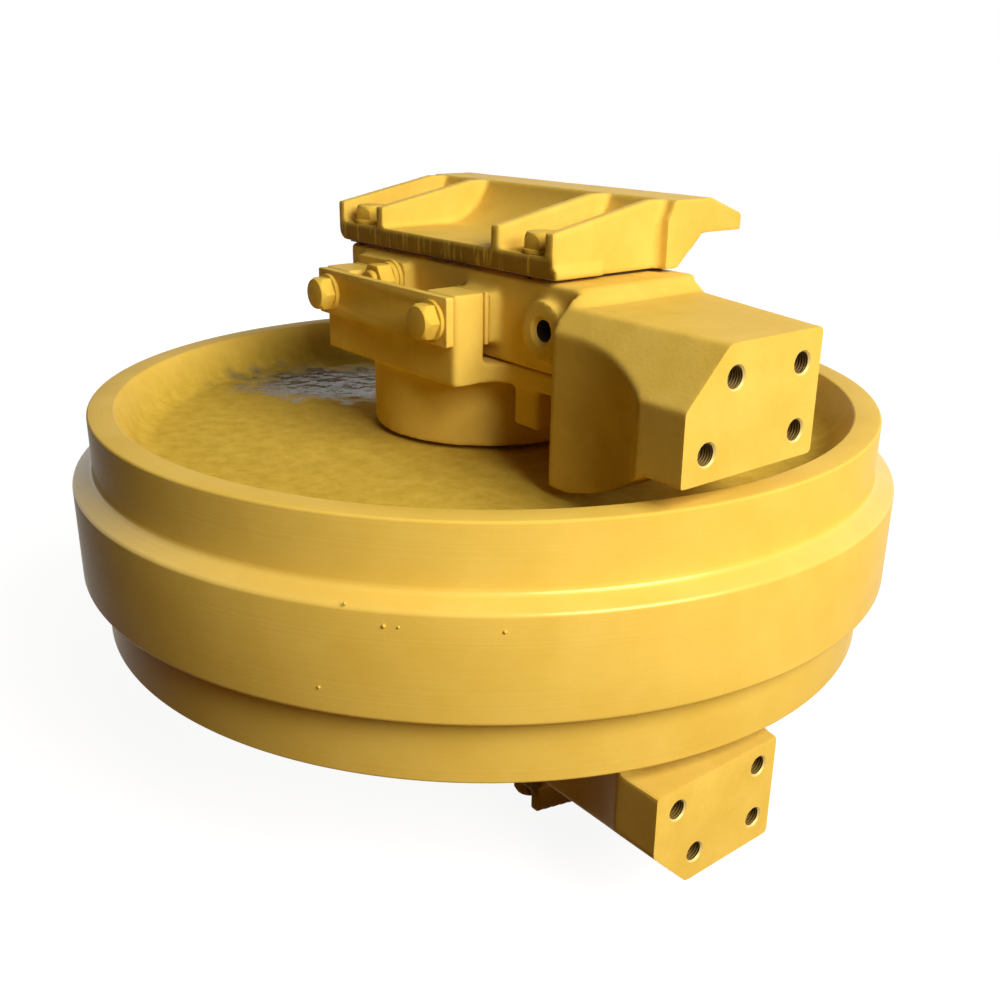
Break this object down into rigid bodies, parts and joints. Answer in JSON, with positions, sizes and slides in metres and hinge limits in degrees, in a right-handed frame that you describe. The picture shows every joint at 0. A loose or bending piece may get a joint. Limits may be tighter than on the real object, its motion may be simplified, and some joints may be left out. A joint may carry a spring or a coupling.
{
  "type": "excavator front idler",
  "caption": "Front idler of a large crawler: flanged hollow wheel on a fixed shaft, with a collar, bracket, end block and ribbed side guide on each side.",
  "frame": {"origin": "centre of the wheel: on its axis, midway between its two faces", "axes": "+Z along the wheel's axis, up as the idler lies on its side; +X towards the two end faces with the yoke's holes; -Y towards the retainer plates"},
  "size_m": [0.8289, 0.829, 0.6164],
  "materials": {
    "yellow_paint": "gloss",
    "painted_fasteners": "gloss",
    "ground_steel": "satin",
    "bronze": "satin",
    "seal_iron": "satin",
    "seal_rubber": "matte"
  },
  "bodies": {
    "supports": {"shaft": "ground_steel", "oil_plug": "ground_steel", "stationary_seal_ring_upper": "seal_iron", "stationary_seal_ring_lower": "seal_iron", "stationary_toric_upper": "seal_rubber", "stationary_toric_lower": "seal_rubber", "shaft_oring_upper": "seal_rubber", "shaft_oring_lower": "seal_rubber", "collar_upper": "yellow_paint", "collar_lower": "yellow_paint", "bracket_upper": "yellow_paint", "bracket_lower": "yellow_paint", "lock_bolt_upper": "painted_fasteners", "lock_bolt_lower": "painted_fasteners", "lock_nut_upper": "painted_fasteners", "lock_nut_lower": "painted_fasteners", "lock_washers_upper": "painted_fasteners", "lock_washers_lower": "painted_fasteners", "ear_shims_upper": "yellow_paint", "ear_shims_lower": "yellow_paint", "retainer_plate_upper": "yellow_paint", "retainer_plate_lower": "yellow_paint", "retainer_washers_upper": "painted_fasteners", "retainer_washers_lower": "painted_fasteners", "retainer_bolts_upper": "painted_fasteners", "retainer_bolts_lower": "painted_fasteners", "side_guide_upper": "yellow_paint", "side_guide_lower": "yellow_paint", "guide_washers_upper": "painted_fasteners", "guide_washers_lower": "painted_fasteners", "guide_bolts_upper": "painted_fasteners", "guide_bolts_lower": "painted_fasteners", "guide_dowels_upper": "ground_steel", "guide_dowels_lower": "ground_steel", "guide_shims_upper": "ground_steel", "guide_shims_lower": "ground_steel"},
    "wheel": {"idler_wheel": "yellow_paint", "bushing_upper": "bronze", "bushing_lower": "bronze", "rotating_seal_ring_upper": "seal_iron", "rotating_seal_ring_lower": "seal_iron", "rotating_toric_upper": "seal_rubber", "rotating_toric_lower": "seal_rubber"}
  },
  "joints": [
    {"name": "wheel_spin", "type": "hinge", "parent": "supports", "child": "wheel", "pos_m": [0, 0, 0], "axis": [0, 0, 1], "continuous": true}
  ]
}
